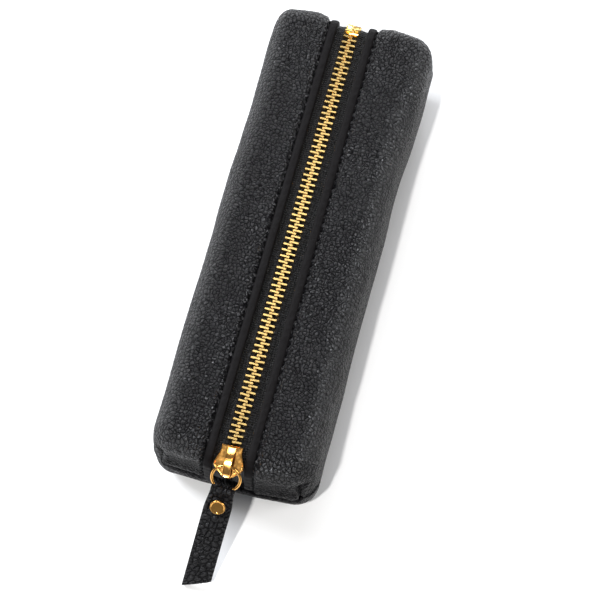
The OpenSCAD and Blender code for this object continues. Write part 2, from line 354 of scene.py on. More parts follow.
def two_sided(quads, n):
    """Faces of a sheet with thickness: outside, inside and the rim between them."""
    rim = open_edges(quads)
    sides = np.stack([rim[:, 1], rim[:, 0], rim[:, 0] + n, rim[:, 1] + n], -1)
    return np.concatenate([quads, quads[:, ::-1] + n, sides])


def open_edges(quads):
    """Edges that only one quad uses, in that quad's order."""
    edges = np.concatenate([quads[:, [k, (k + 1) % 4]] for k in range(4)])
    edges = edges[edges[:, 0] != edges[:, 1]]
    code = np.sort(edges, 1)
    _, index, count = np.unique(code, axis=0, return_inverse=True, return_counts=True)
    return edges[count[index.reshape(-1)] == 1]


def steps(a, b, step):
    return np.linspace(a, b, max(2, int(round(abs(b - a) / step)) + 1))


def patch(axis, value, us, vs):
    """A grid of box points on one face: axis 0, 1 or 2 held at value."""
    u, v = np.meshgrid(us, vs, indexing="ij")
    w = np.full_like(u, value)
    order = {0: (w, u, v), 1: (u, w, v), 2: (u, v, w)}[axis]
    return np.stack(order, -1)


# -------------------------------------------------------------- the zip's path

def zip_path(depth):
    """Points and normals along the middle of the top and down both ends."""
    step = 0.25
    ys = steps(-SHAPE_L, SHAPE_L, step)
    zs = steps(SEAM_Z + 0.6, TOP_Z, step)
    box = np.concatenate([
        np.stack([np.zeros_like(zs), np.full_like(zs, -SHAPE_L), zs], -1)[:-1],
        np.stack([np.zeros_like(ys), ys, np.full_like(ys, TOP_Z)], -1),
        np.stack([np.zeros_like(zs), np.full_like(zs, SHAPE_L), zs[::-1]], -1)[1:]])
    place, normal = rounded(box)
    push = swell(place, normal, 0.0, 0)
    end = smooth((np.abs(normal[:, 1]) - 0.35) / 0.4)
    pinch = 2.2 * hill(place[:, 2] - SEAM_Z, 1.0) * end
    return place + normal * (push - pinch - depth)[:, None], normal


def path_length(place):
    return np.concatenate([[0], np.cumsum(np.linalg.norm(np.diff(place, axis=0), axis=1))])


def at_distances(place, normal, spots):
    """Places and normals at distances along a path."""
    along = path_length(place)
    return [np.stack([np.interp(spots, along, v[:, k]) for k in range(3)], -1)
            for v in (place, normal)]


def in_half(y, part, overlap=0.0):
    """Which points belong to the near or the far half."""
    return y < overlap if part == "near" else y >= -overlap


def sweep(name, place, normal, profile, material, wave=None):
    """A closed profile of (x, height) points carried along a path."""
    profile = np.asarray(profile, float)
    rows, cols = len(place), len(profile)
    verts = np.zeros((rows, cols, 3))
    lift = profile[None, :, 1] * (np.ones(rows) if wave is None else wave)[:, None]
    verts[..., 0] = place[:, None, 0] + profile[None, :, 0]
    for k in (1, 2):
        verts[..., k] = place[:, None, k] + normal[:, None, k] * lift
    verts = verts.reshape(-1, 3)
    obj = make_mesh(name, verts, tube_faces(rows, cols), material, rest=verts)
    fix_normals(obj)
    return obj


def fix_normals(obj):
    """Turns all faces of closed parts outwards."""
    work = bmesh.new()
    work.from_mesh(obj.data)
    bmesh.ops.recalc_face_normals(work, faces=work.faces)
    work.to_mesh(obj.data)
    work.free()


def settle(obj):
    """Turns an object with modifiers into a plain mesh of its own."""
    graph = bpy.context.evaluated_depsgraph_get()
    mesh = bpy.data.meshes.new_from_object(obj.evaluated_get(graph))
    obj.modifiers.clear()
    old = obj.data
    obj.data = mesh
    bpy.data.meshes.remove(old)
    return obj


def set_input(modifier, tree, name, value):
    """Sets a geometry tree's input by its socket's identifier."""
    for item in tree.interface.items_tree:
        if item.item_type == "SOCKET" and item.in_out == "INPUT" and item.name == name:
            modifier[item.identifier] = value
            return
    raise KeyError(name)


def new_tree(name, inputs):
    tree = bpy.data.node_groups.new(name, "GeometryNodeTree")
    for label, kind in (("Geometry", "Geometry"), *inputs):
        tree.interface.new_socket(label, in_out="INPUT", socket_type=f"NodeSocket{kind}")
    tree.interface.new_socket("Geometry", in_out="OUTPUT", socket_type="NodeSocketGeometry")
    return tree, add_node(tree, "NodeGroupInput", (-900, 0))


def close_tree(tree, inp, geometry):
    """Makes the result real, paints it and hands it out."""
    real = add_node(tree, "GeometryNodeRealizeInstances", (500, 0), Geometry=geometry)
    paint = add_node(tree, "GeometryNodeSetMaterial", (700, 0), Geometry=(real, "Geometry"),
                     Material=(inp, "Material"))
    add_node(tree, "NodeGroupOutput", (900, 0), Geometry=(paint, "Geometry"))
    return tree


def attribute(tree, name, kind, at):
    return add_node(tree, "GeometryNodeInputNamedAttribute", at, data_type=kind, Name=name)


def noise(tree, source, at, scale, detail):
    return add_node(tree, "ShaderNodeTexNoise", at, Vector=source, Scale=scale, Detail=detail)


# ------------------------------------------------------------- geometry nodes

GRAIN_WARP = 0.0012


def pebbles(tree, source):
    """The grain's warped coordinates, its cells and each pebble's dome."""
    warp = noise(tree, source, (-1000, -200), 90.0, 1.0)
    shift = add_node(tree, "ShaderNodeVectorMath", (-820, -100),
                     {0: (warp, "Color"), 1: (GRAIN_WARP,) * 3, 2: source},
                     operation="MULTIPLY_ADD")
    cells = add_node(tree, "ShaderNodeTexVoronoi", (-620, 100), feature="DISTANCE_TO_EDGE",
                     Vector=(shift, "Vector"), Randomness=0.85)
    return shift, cells, maths(tree, "POWER", (-420, 100), (cells, "Distance"), 0.5)


def grain_tree():
    """Sinks the creases between the leather's pebbles into a surface."""
    if "Leather grain" in bpy.data.node_groups:
        return bpy.data.node_groups["Leather grain"]
    tree, inp = new_tree("Leather grain", [
        ("Cell", "Float"), ("Depth", "Float"), ("Material", "Material")])
    rest = attribute(tree, "rest", "FLOAT_VECTOR", (-1200, -200))
    mask = attribute(tree, "outer", "FLOAT", (-100, -400))
    up = attribute(tree, "up", "FLOAT_VECTOR", (0, -550))
    _, cells, dome = pebbles(tree, (rest, "Attribute"))
    per_metre = maths(tree, "DIVIDE", (-820, 100), 1.0, (inp, "Cell"))
    feed(tree, cells, "Scale", (per_metre, "Value"))
    sink = maths(tree, "SUBTRACT", (-200, 100), (dome, "Value"), 0.7)
    deep = maths(tree, "MULTIPLY", (-50, 0), (sink, "Value"), (inp, "Depth"))
    masked = maths(tree, "MULTIPLY", (100, -100), (deep, "Value"), (mask, "Attribute"))
    offset = add_node(tree, "ShaderNodeVectorMath", (250, -200), {0: (up, "Attribute")},
                      operation="SCALE", Scale=(masked, "Value"))
    move = add_node(tree, "GeometryNodeSetPosition", (350, 0), Geometry=(inp, "Geometry"),
                    Offset=(offset, "Vector"))
    return close_tree(tree, inp, (move, "Geometry"))


def grain(obj, cell, depth, material):
    """Presses the grain into a piece for good."""
    apply_tree(obj, grain_tree(), Cell=cell, Depth=depth, Material=material)
    obj.data.set_sharp_from_angle(angle=math.radians(78))


def apply_tree(obj, tree, **inputs):
    mod = obj.modifiers.new("Shape", "NODES")
    mod.node_group = tree
    for label, value in inputs.items():
        set_input(mod, tree, label.replace("_", " "), value)
    settle(obj)


def row_tree():
    """Puts one piece at every point of a row, turned by the point's own angle."""
    if "Row of pieces" in bpy.data.node_groups:
        return bpy.data.node_groups["Row of pieces"]
    tree, inp = new_tree("Row of pieces", [
        ("Piece", "Object"), ("Size", "Float"), ("Size spread", "Float"), ("Seed", "Int"),
        ("Material", "Material")])
    info = add_node(tree, "GeometryNodeObjectInfo", (-600, -200), Object=(inp, "Piece"))
    turn = attribute(tree, "turn", "FLOAT_VECTOR", (-600, -420))
    least, most = (maths(tree, operation, (-600, y), (inp, "Size"), (inp, "Size spread"))
                   for operation, y in (("SUBTRACT", -600), ("ADD", -760)))
    chance = add_node(tree, "FunctionNodeRandomValue", (-400, -600),
                      {2: (least, "Value"), 3: (most, "Value"), "Seed": (inp, "Seed")},
                      data_type="FLOAT")
    place = add_node(tree, "GeometryNodeInstanceOnPoints", (-200, 0), Points=(inp, "Geometry"),
                     Instance=(info, "Geometry"), Rotation=(turn, "Attribute"),
                     Scale=(chance, 1))
    return close_tree(tree, inp, (place, "Instances"))


def row(name, places, normals, piece, material, spread=0.0, yaw=0.0, sharp=180):
    """Copies of a piece at places, their Z along normals and Y along the path."""
    mesh = bpy.data.meshes.new(name)
    mesh.from_pydata([tuple(p * MM) for p in places], [], [])
    angles = []
    for n, angle in zip(normals, np.broadcast_to(yaw, len(normals))):
        turned = Matrix.Rotation(-math.atan2(n[1], n[2]), 3, "X") @ Matrix.Rotation(angle, 3, "Z")
        angles.append(list(turned.to_euler("XYZ")))
    set_layer(mesh, "turn", angles)
    obj = link(name, mesh)
    apply_tree(obj, row_tree(), Piece=piece, Size=1.0, Size_spread=spread, Seed=3,
               Material=material)
    obj.data.polygons.foreach_set("use_smooth", np.ones(len(obj.data.polygons), bool))
    obj.data.set_sharp_from_angle(angle=math.radians(sharp))
    return obj


# ------------------------------------------------------------------ materials

def new_material(name, note):
    """A named material with an empty tree, its shader and output joined."""
    if name in bpy.data.materials:
        return bpy.data.materials[name], None, None
    material = bpy.data.materials.new(name)
    material.use_nodes = True
    material["note"] = note
    tree = material.node_tree
    tree.nodes.clear()
    shader = add_node(tree, "ShaderNodeBsdfPrincipled", (300, 0))
    add_node(tree, "ShaderNodeOutputMaterial", (600, 0), Surface=(shader, "BSDF"))
    return material, tree, shader


def finish(tree, shader, **inputs):
    """Feeds the main shader: base, rough, shine, metal and normal."""
    for key, socket in (("base", "Base Color"), ("rough", "Roughness"), ("metal", "Metallic"),
                        ("shine", "Specular IOR Level"), ("normal", "Normal")):
        if key in inputs:
            feed(tree, shader, socket, inputs[key])


def rest_place(tree):
    """The piece's own coordinates, in metres, kept in an attribute."""
    node = add_node(tree, "ShaderNodeAttribute", (-1200, 0), attribute_name="rest")
    return node, "Vector"


def object_place(tree):
    return add_node(tree, "ShaderNodeTexCoord", (-900, 0)), "Object"


def mapped(tree, value, at, kind="LINEAR", **ends):
    """A map from one range to another; from_min and the like give its ends."""
    inputs = {key.replace("_", " ").title(): end for key, end in ends.items()}
    node = add_node(tree, "ShaderNodeMapRange", at, {"Value": value, **inputs},
                    interpolation_type=kind)
    return node, "Result"


def bump(tree, height, at, strength, distance, over=None):
    """A bump from a height, added over an earlier one when it is given."""
    below = {} if over is None else {"Normal": over}
    node = add_node(tree, "ShaderNodeBump", at, {"Height": height, **below}, Strength=strength,
                    Distance=distance)
    return node, "Normal"


def shades(tree, colour, dark, light, factor):
    """The colour darkened at factor 0 and lightened at factor 1."""
    node = add_node(tree, "ShaderNodeMix", (-100, 300), {
        0: factor, 6: (*[c * dark for c in colour], 1),
        7: (*[min(1, c * light) for c in colour], 1)}, data_type="RGBA")
    return node, 2


def leather_material(name, colour, cell, rough=0.31, gain=1.0, shine_most=0.62):
    # Full-grain cowhide with a pressed pebble grain, dyed through and lightly waxed.
    material, tree, shader = new_material(name, "pebbled cowhide, semi-matte, lightly waxed")
    if tree is None:
        return material
    source = rest_place(tree)
    shift, cells, dome = pebbles(tree, source)
    cells.inputs["Scale"].default_value = 1 / cell
    # Painted shade: this mask is 0 in the creases between pebbles and 1 on the pebbles; it
    # darkens the colour and cuts the shine in the creases.
    crease_shade = mapped(tree, (cells, "Distance"), (-420, 250), "SMOOTHSTEP", from_max=0.12)
    small = add_node(tree, "ShaderNodeTexVoronoi", (-620, -150), feature="DISTANCE_TO_EDGE",
                     Vector=(shift, "Vector"), Scale=2.7 / cell, Randomness=1.0)
    fine = mapped(tree, (small, "Distance"), (-420, -150), "SMOOTHSTEP", from_max=0.25)
    pores = noise(tree, source, (-620, -400), 5200.0, 3.0)
    broad = noise(tree, source, (-620, -600), 38.0, 3.0)
    height = maths(tree, "MULTIPLY_ADD", (-220, 0), fine, 0.12, (dome, "Value"))
    pebbled = bump(tree, (height, "Value"), (0, -200), 1.0, 0.0018 * gain)
    # Painted shade: the upright walls get less shine than the top, so they come out darker.
    facing = add_node(tree, "ShaderNodeAttribute", (-420, 500), attribute_name="up")
    upward = add_node(tree, "ShaderNodeSeparateXYZ", (-220, 500), Vector=(facing, "Vector"))
    wall_shade = mapped(tree, (upward, "Z"), (0, 500), "SMOOTHSTEP", from_min=-0.1, from_max=0.8,
                    to_min=0.22)
    # Painted shade: less shine in the creases between pebbles.
    shine = mapped(tree, crease_shade, (0, 300), to_min=0.12, to_max=shine_most)
    # Painted shade: the shine is cut both in the creases and on the upright walls.
    painted_shade_shine = maths(tree, "MULTIPLY", (180, 400), shine, wall_shade)
    # For exporters that read the plain value instead of what is joined to it.
    shader.inputs["Specular IOR Level"].default_value = 0.4
    # Painted shade and highlight: the colour is darkened in the creases and lightened on the
    # pebbles.
    finish(tree, shader, base=shades(tree, colour, 0.45, 1.15, crease_shade),
           rough=mapped(tree, (broad, "Fac"), (0, 100), to_min=rough - 0.07, to_max=rough + 0.09),
           shine=(painted_shade_shine, "Value"),
           normal=bump(tree, (pores, "Fac"), (150, -300), 0.5, 0.00002, pebbled))
    return material


def smooth_leather_material(name, colour):
    # Thin smooth calf skived and folded over, with faint creases and a satin wax.
    material, tree, shader = new_material(name, "smooth folded calf leather, satin")
    if tree is None:
        return material
    source = rest_place(tree)
    creases = noise(tree, source, (-600, -100), 420.0, 5.0)
    pores = add_node(tree, "ShaderNodeTexVoronoi", (-600, -300), Vector=source, Scale=1500.0)
    creased = bump(tree, (creases, "Fac"), (-200, -200), 1.0, 0.0006)
    finish(tree, shader, base=shades(tree, colour, 0.75, 1.3, (creases, "Fac")), rough=0.66,
           shine=0.11, normal=bump(tree, (pores, "Distance"), (0, -200), 0.6, 0.00003, creased))
    return material


def woven_material(name, colour, pitch, note):
    # Plain-woven polyester: threads over and under at the stated pitch.
    material, tree, shader = new_material(name, note)
    if tree is None:
        return material
    source = rest_place(tree)
    waves = [(add_node(tree, "ShaderNodeTexWave", (-700, y), wave_type="BANDS",
                       bands_direction=direction, Vector=source, Scale=math.pi / 10 / pitch,
                       Distortion=0.6, Detail=1.0), "Fac")
             for direction, y in (("X", 100), ("Y", -200))]
    weave = maths(tree, "MAXIMUM", (-450, 0), *waves), "Value"
    fuzz = noise(tree, source, (-700, -500), 2600.0, 2.0)
    woven = bump(tree, weave, (-100, -200), 1.0, 0.0012)
    # Painted highlight and shade: the raised threads are coloured lighter and the dips between
    # them darker.
    finish(tree, shader, base=shades(tree, colour, 0.5, 1.6, weave), rough=0.42, shine=0.24,
           normal=bump(tree, (fuzz, "Fac"), (100, -250), 1.0, 0.0006, woven))
    return material


def metal_material(name, colour, rough, scratch):
    # Zinc casting with a polished gold-coloured plate, faintly scratched by use.
    material, tree, shader = new_material(name, "polished gold-coloured plate")
    if tree is None:
        return material
    source = object_place(tree)
    scuffs = noise(tree, source, (-600, 0), 700.0, 6.0)
    waves = noise(tree, source, (-600, -250), 260.0, 1.0)
    gloss = mapped(tree, (scuffs, "Fac"), (-300, 0), from_min=0.35, from_max=0.75, to_min=rough,
                   to_max=rough + scratch)
    finish(tree, shader, base=(*colour, 1), metal=1.0, rough=gloss,
           normal=bump(tree, (waves, "Fac"), (-100, -250), 0.5, 0.00001))
    return material


def thread_material():
    # Bonded black polyester thread, two plies twisted together.
    material, tree, shader = new_material("Sewing thread", "bonded black polyester thread")
    if tree is None:
        return material
    fuzz = noise(tree, object_place(tree), (-600, 0), 4200.0, 3.0)
    finish(tree, shader, base=(*srgb("#050506"), 1), rough=0.7, shine=0.1,
           normal=bump(tree, (fuzz, "Fac"), (-200, -200), 0.7, 0.00004))
    return material


def looks(context):
    """All the case's materials, by name."""
    colours = context.scene.pencase_colours
    sizes = context.scene.pencase_sizes
    return {
        "leather": leather_material("Pebbled leather", colours.leather, sizes.grain_cell),
        "strap": leather_material("Strap leather", colours.leather, STRAP_CELL * MM, 0.36,
                                  1.3, 0.27),
        "band": smooth_leather_material("Smooth edge leather", colours.band),
        "tape": woven_material("Zip tape", colours.tape, 0.95 * MM, "black woven polyester tape"),
        "lining": woven_material("Lining cloth", colours.lining, 0.4 * MM, "dark woven lining"),
        "gold": metal_material("Gold plate", colours.gold, 0.1, 0.1),
        "teeth": metal_material("Zip teeth", colours.teeth, 0.2, 0.12),
        "thread": thread_material(),
    }


# ------------------------------------------------------------------ operators

LEATHER_T = 1.4
LINING_T = 0.5
LINING_DEPTH = 3.6
LINING_TOP = 9


def named(obj, slot_name, *nodes):
    if nodes:
        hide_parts(*nodes)


def bend(obj):
    """Bakes a piece's placement into its points."""
    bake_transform(obj)


def place_half(obj, slot_name, node, part):
    """Bakes a half's placement into its points; the near half stands for the CAD node, which is
    hidden.
    """
    named(obj, slot_name, *([node] if part == "near" else []))
    bend(obj)


class PENCASE_OT_body(bpy.types.Operator):
    """Make the leather body: the base and the two sides that open"""
    bl_idname = "pencase.body"
    bl_label = "Leather body"

    def execute(self, context):
        sizes = context.scene.pencase_sizes
        look = looks(context)["leather"]
        step = sizes.mesh_step / MM * 1
        puff, seed = sizes.puff / MM, sizes.seed
        ys = {"near": steps(-SHAPE_L, 0, step), "far": steps(0, SHAPE_L, step)}
        wall = steps(FOLD_Z, SEAM_Z, step)
        upper = steps(SEAM_Z, TOP_Z, step)[1:]
        zs = np.concatenate([wall, upper])
        over = steps(BAND_IN - 0.1, CORNER_X, step)
        corner = steps(CORNER_X, HALF_W, step)[1:]
        xs = np.concatenate([over, corner])
        for side, sign in SIDES:
            for part, y_end, ends in HALVES:
                patches = [
                    patch(2, TOP_Z, sign * xs, ys[part]),
                    patch(0, sign * HALF_W, ys[part], zs),
                    patch(1, y_end, sign * xs, zs[len(wall) - 1:]),
                    patch(1, y_end, sign * xs[len(over) - 1:], wall)]
                obj = shell(f"{side}_leather_{part}", patches, LEATHER_T, look, puff=puff,
                            seed=seed)
                grain(obj, sizes.grain_cell, sizes.grain_depth, look)
                nodes = [f"{part}_end_{side}"]
                if part == "near":
                    nodes += [f"{side}_side_leather", f"{side}_side_padding"]
                named(obj, "grained_leather", *nodes)
                bend(obj)
        low = steps(0, FOLD_Z, step)
        long_y = steps(-SHAPE_L, SHAPE_L, step * 2.6)
        middle = steps(-CORNER_X, CORNER_X, step)
        full_x = np.concatenate([-corner[::-1], middle, corner])
        patches = [patch(2, 0.0, full_x, long_y)]
        for sign in (-1, 1):
            patches.append(patch(0, sign * HALF_W, long_y, low))
            patches.append(patch(1, sign * SHAPE_L, full_x, low))
            patches.append(patch(1, sign * SHAPE_L, middle, wall))
        obj = shell("base_leather", patches, LEATHER_T, look, puff=puff, seed=seed)
        grain(obj, sizes.grain_cell, sizes.grain_depth, look)
        named(obj, "grained_leather", "leather_wrap", "base_padding")
        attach(obj, "case")
        return {"FINISHED"}


class PENCASE_OT_lining(bpy.types.Operator):
    """Make the lining of the base and of the two sides"""
    bl_idname = "pencase.lining"
    bl_label = "Lining"

    def execute(self, context):
        look = looks(context)["lining"]
        ys = {"near": steps(-SHAPE_L, 0, 2.4), "far": steps(0, SHAPE_L, 2.4)}
        zs = steps(FOLD_Z, TOP_Z, 1.6)
        xs = steps(BAND_IN + 1.8, HALF_W, 1.6)
        for side, sign in SIDES:
            for part, y_end, ends in HALVES:
                patches = [patch(2, TOP_Z, sign * xs, ys[part]),
                           patch(0, sign * HALF_W, ys[part], zs),
                           patch(1, y_end, sign * xs, zs[zs > SEAM_Z])]
                obj = shell(f"{side}_lining_{part}", patches, LINING_T, look,
                            depth=LINING_DEPTH, puff=0.3, plain=True)
                place_half(obj, "lining_cloth", f"{side}_side_lining", part)
        all_y = np.concatenate([ys["near"], ys["far"][1:]])
        all_x = steps(-HALF_W, HALF_W, 1.6)
        low = steps(0, FOLD_Z, 1.2)
        wall = np.concatenate([low, zs[(zs > FOLD_Z + 0.1) & (zs < TOP_Z - LINING_TOP)]])
        patches = [patch(2, 0.0, all_x, all_y)]
        for sign in (-1, 1):
            patches.append(patch(0, sign * HALF_W, all_y, low))
            patches.append(patch(1, sign * SHAPE_L, all_x, wall))
        obj = shell("base_cloth", patches, LINING_T, look, depth=LINING_DEPTH, puff=0.0,
                    plain=True)
        named(obj, "lining_cloth", "base_lining")
        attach(obj, "case")
        return {"FINISHED"}


HALF_OVERLAP = 0.01


def side_sweeps(name, slot_name, node, profile, look, wave=None):
    """A profile swept along both sides of the zip, each in two halves."""
    place, normal = zip_path(0.0)
    for side, sign in SIDES:
        for part, _, ends in HALVES:
            keep = in_half(place[:, 1], part, HALF_OVERLAP)
            obj = sweep(f"{side}_{name}_{part}", place[keep], normal[keep], profile * (sign, 1),
                        look, wave=None if wave is None else wave[keep])
            place_half(obj, slot_name, f"{side}_{node}", part)


class PENCASE_OT_bands(bpy.types.Operator):
    """Make the smooth folded leather along both sides of the zip"""
    bl_idname = "pencase.bands"
    bl_label = "Edge bands"

    def execute(self, context):
        profile = np.array([
            (0.0, -1.7), (-0.3, -1.1), (-0.35, -0.3), (-0.2, 0.12), (0.1, 0.32), (0.8, 0.42),
            (1.7, 0.4), (2.5, 0.28), (2.85, 0.02), (2.95, -0.6), (2.95, -1.3), (1.2, -1.6)])
        along = path_length(zip_path(0.0)[0])
        pulled = 0.12 * np.sin(along * 2 * math.pi / 3.8) + 0.1 * np.sin(along / 4.3)
        side_sweeps("band", "smooth_leather", "edge_band", profile + (BAND_IN, 0),
                    looks(context)["band"], wave=1 + pulled)
        return {"FINISHED"}


class PENCASE_OT_tapes(bpy.types.Operator):
    """Make the two woven zip tapes"""
    bl_idname = "pencase.tapes"
    bl_label = "Zip tapes"

    def execute(self, context):
        profile = np.array([
            (1.2, -2.1), (1.15, -1.8), (1.25, -1.5), (2.4, -1.42), (3.2, -1.25), (3.7, -1.2),
            (4.1, -1.38), (5.0, -1.5), (6.0, -1.5), (7.2, -1.52), (8.4, -1.6), (8.4, -2.1),
            (6.0, -2.12), (3.6, -2.35)])
        side_sweeps("tape", "zip_tape", "tape", profile, looks(context)["tape"])
        return {"FINISHED"}


def tooth_mesh(material, sign):
    """One stamped tooth: a rounded head, a waist and two legs on the tape."""
    outline = np.array([
        (-0.85, 0.2), (-0.7, 0.42), (-0.4, 0.52), (0.05, 0.5), (0.35, 0.4), (0.55, 0.37),
        (0.8, 0.38), (1.2, 0.39), (2.0, 0.4), (2.7, 0.4), (2.88, 0.3)])
    outline = np.concatenate([outline, outline[::-1] * (1, -1)])
    rings = [(-1.3, 0.9), (-1.15, 1.0), (1.18, 1.0), (1.3, 0.92)]
    verts = []
    for z, k in rings:
        for x, y in outline:
            head = 0.72 if x < 0.5 else 1.0
            verts.append((sign * (x * (0.5 + 0.5 * k) + (1 - k) * 0.4), y * k, z * head))
    obj = make_mesh("tooth", verts, tube_faces(len(rings), len(outline)), material)
    fix_normals(obj)
    return obj


class PENCASE_OT_teeth(bpy.types.Operator):
    """Make the two rows of metal teeth"""
    bl_idname = "pencase.teeth"
    bl_label = "Zip teeth"

    def execute(self, context):
        look = looks(context)["teeth"]
        pitch = context.scene.pencase_sizes.tooth_pitch / MM
        place, normal = zip_path(1.25)
        along = path_length(place)
        first = along[np.argmax((place[:, 1] > -87.2) & (place[:, 2] > TOP_Z - 4))]
        last = along[-1] - 1.5
        for side, sign in SIDES:
            piece = tooth_mesh(look, sign)
            spots = np.arange(first + (pitch / 2 if side == "left" else 0), last, pitch)
            at, up = at_distances(place, normal, spots)
            yaw = np.random.default_rng(5).uniform(-0.04, 0.04, len(spots))
            for part, _, ends in HALVES:
                keep = in_half(at[:, 1], part)
                obj = row(f"{side}_teeth_{part}", at[keep], up[keep], piece, look, yaw=yaw[keep],
                          sharp=32)
                place_half(obj, "gold_teeth", f"{side}_teeth", part)
            bpy.data.objects.remove(piece)
        return {"FINISHED"}


def stitch_mesh(material, length, thick):
    """One stitch: a short thread that dips into its holes at both ends."""
    rows, cols = 13, 10
    verts = []
    for i in range(rows):
        t = i / (rows - 1) * 2 - 1
        dip = -0.62 * max(0.0, abs(t) - 0.55) ** 2 / 0.2
        fat = thick / 2 * (1 - 0.35 * abs(t) ** 6)
        for j in range(cols):
            a = 2 * math.pi * j / cols
            verts.append((math.cos(a) * fat, t * length / 2, math.sin(a) * fat * 0.8 + dip))
    obj = make_mesh("stitch", verts, tube_faces(rows, cols), material)
    fix_normals(obj)
    return obj


class PENCASE_OT_sewing(bpy.types.Operator):
    """Make the topstitching along the zip and the threads of the end seams"""
    bl_idname = "pencase.sewing"
    bl_label = "Sewing"

    def execute(self, context):
        look = looks(context)["thread"]
        pitch = context.scene.pencase_sizes.stitch_pitch / MM
        place, normal = zip_path(0.55)
        along = path_length(place)
        spots = np.arange(along[0] + STITCH_START, along[-1] - 2.0, pitch)
        at, up = at_distances(place, normal, spots)
        piece = stitch_mesh(look, pitch * STITCH_SHARE, 1.0)
        for side, sign in SIDES:
            at[:, 0] = sign * STITCH_X
            for part, _, ends in HALVES:
                keep = in_half(at[:, 1], part)
                obj = row(f"{side}_stitches_{part}", at[keep], up[keep], piece, look,
                          yaw=sign * 0.06, spread=0.03)
                place_half(obj, "thread", f"{side}_topstitch", part)
        bpy.data.objects.remove(piece)
        lines = []
        for part, y_end, _ in HALVES:
            xs = steps(-CORNER_X + 0.5, CORNER_X - 0.5, 0.5)
            box = np.stack([xs, np.full_like(xs, y_end), np.full_like(xs, SEAM_Z)], -1)
            obj = self.cord(f"{part}_seam_thread", box, 0.42, look)
            named(obj, "thread", f"{part}_end_seam")
            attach(obj, "case")
            for sign in (-1, 1):
                zs = steps(SEAM_Z, SEAM_Z + 12, 0.5)
                lines.append(np.stack([np.full_like(zs, sign * CORNER_X),
                                       np.full_like(zs, y_end), zs], -1))
        for k, box in enumerate(lines):
            obj = self.cord(f"corner_thread_{k + 1}", box, 0.3, look)
            named(obj, "thread", *(["corner_seams"] if k == 0 else []))
            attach(obj, "case")
        return {"FINISHED"}

    def cord(self, name, box, radius, look):
        """A thread along the bottom of a seam."""
        place, normal = rounded(box)
        push = swell(place, normal, 0.0, 0) - seams(place, normal) - 0.15
        centre = place + normal * push[:, None]
        along = np.gradient(centre, axis=0)
        along /= np.linalg.norm(along, axis=1, keepdims=True)
        other = np.cross(along, normal)
        angles = np.linspace(0, 2 * math.pi, 9)[:-1]
        verts = (centre[:, None] + radius * (np.cos(angles)[None, :, None] * normal[:, None]
                                            + np.sin(angles)[None, :, None] * other[:, None]))
        rows, cols = verts.shape[:2]
        obj = make_mesh(name, verts.reshape(-1, 3), tube_faces(rows, cols), look)
        fix_normals(obj)
        return obj


# ------------------------------------------------- slider, ring and strap in place

SLIDER_TIP = math.radians(14)
SLIDER_TURN = math.radians(2)
RING_SLOPE = math.radians(52)
STRAP_SLOPE = math.radians(47)
STRAP_TURN = math.radians(6)
RING_R = 5.4
SLIDER_AT = Vector((0.0, -88.2, 39.9))


def slider_matrix():
    return (Matrix.Translation(SLIDER_AT) @ Matrix.Rotation(SLIDER_TURN, 4, "Z")
            @ Matrix.Rotation(SLIDER_TIP, 4, "X"))


def ring_matrix():
    return (slider_matrix() @ Matrix.Translation((0, -8, 4.35))
            @ Matrix.Rotation(RING_SLOPE - SLIDER_TIP, 4, "X"))


def strap_matrix():
    return (ring_matrix() @ Matrix.Translation((0, -RING_R, 0))
            @ Matrix.Rotation(-STRAP_TURN, 4, "Z") @ Matrix.Translation((0, -RING_R, 0))
            @ Matrix.Rotation(STRAP_SLOPE - RING_SLOPE, 4, "X"))


def moved(verts, matrix):
    return [tuple(matrix @ Vector(v)) for v in verts]


def stack(outline, layers):
    """Closed solid from one outline repeated at heights, each scaled in."""
    verts = []
    away = outline - outline.mean(0)
    size = np.linalg.norm(away, axis=1, keepdims=True)
    for z, inset in layers:
        ring = outline - away / np.maximum(size, 1e-6) * inset
        verts += [(x, y, z) for x, y in ring]
    return verts, tube_faces(len(layers), len(outline))


def plate_outline():
    """The slider's outline seen from above: collar, shoulders and blunt nose."""
    half = np.array([
        (3.95, 0.0), (4.0, -0.6), (3.95, -1.8), (4.1, -2.7), (4.5, -3.8), (5.0, -5.0),
        (5.5, -6.2), (5.75, -7.2), (5.55, -8.1), (4.9, -8.9), (4.0, -9.7), (3.1, -10.5),
        (2.3, -11.2), (1.4, -11.8), (0.5, -12.05)])
    t = np.linspace(0, len(half) - 1, 60)
    smooth_half = np.stack([np.interp(t, np.arange(len(half)), half[:, k]) for k in range(2)], -1)
    for _ in range(4):
        smooth_half[1:-1] = (smooth_half[:-2] + 2 * smooth_half[1:-1] + smooth_half[2:]) / 4
    return np.concatenate([smooth_half, smooth_half[::-1] * (-1, 1)])


def merge(parts):
    verts, faces = [], []
    for v, f in parts:
        start = len(verts)
        verts += list(v)
        faces += [[k + start for k in face] for face in f]
    return verts, faces


def cast(name, parts, matrix, look, sharp, slot_name, node, body):
    """A metal piece from (points, faces), set in place and finished; its CAD node is hidden and
    it hangs on its body's empty.
    """
    verts, faces = parts
    obj = make_mesh(name, moved(verts, matrix), faces, look)
    fix_normals(obj)
    if sharp is not None:
        obj.data.set_sharp_from_angle(angle=math.radians(sharp))
    named(obj, slot_name, node)
    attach(obj, body)


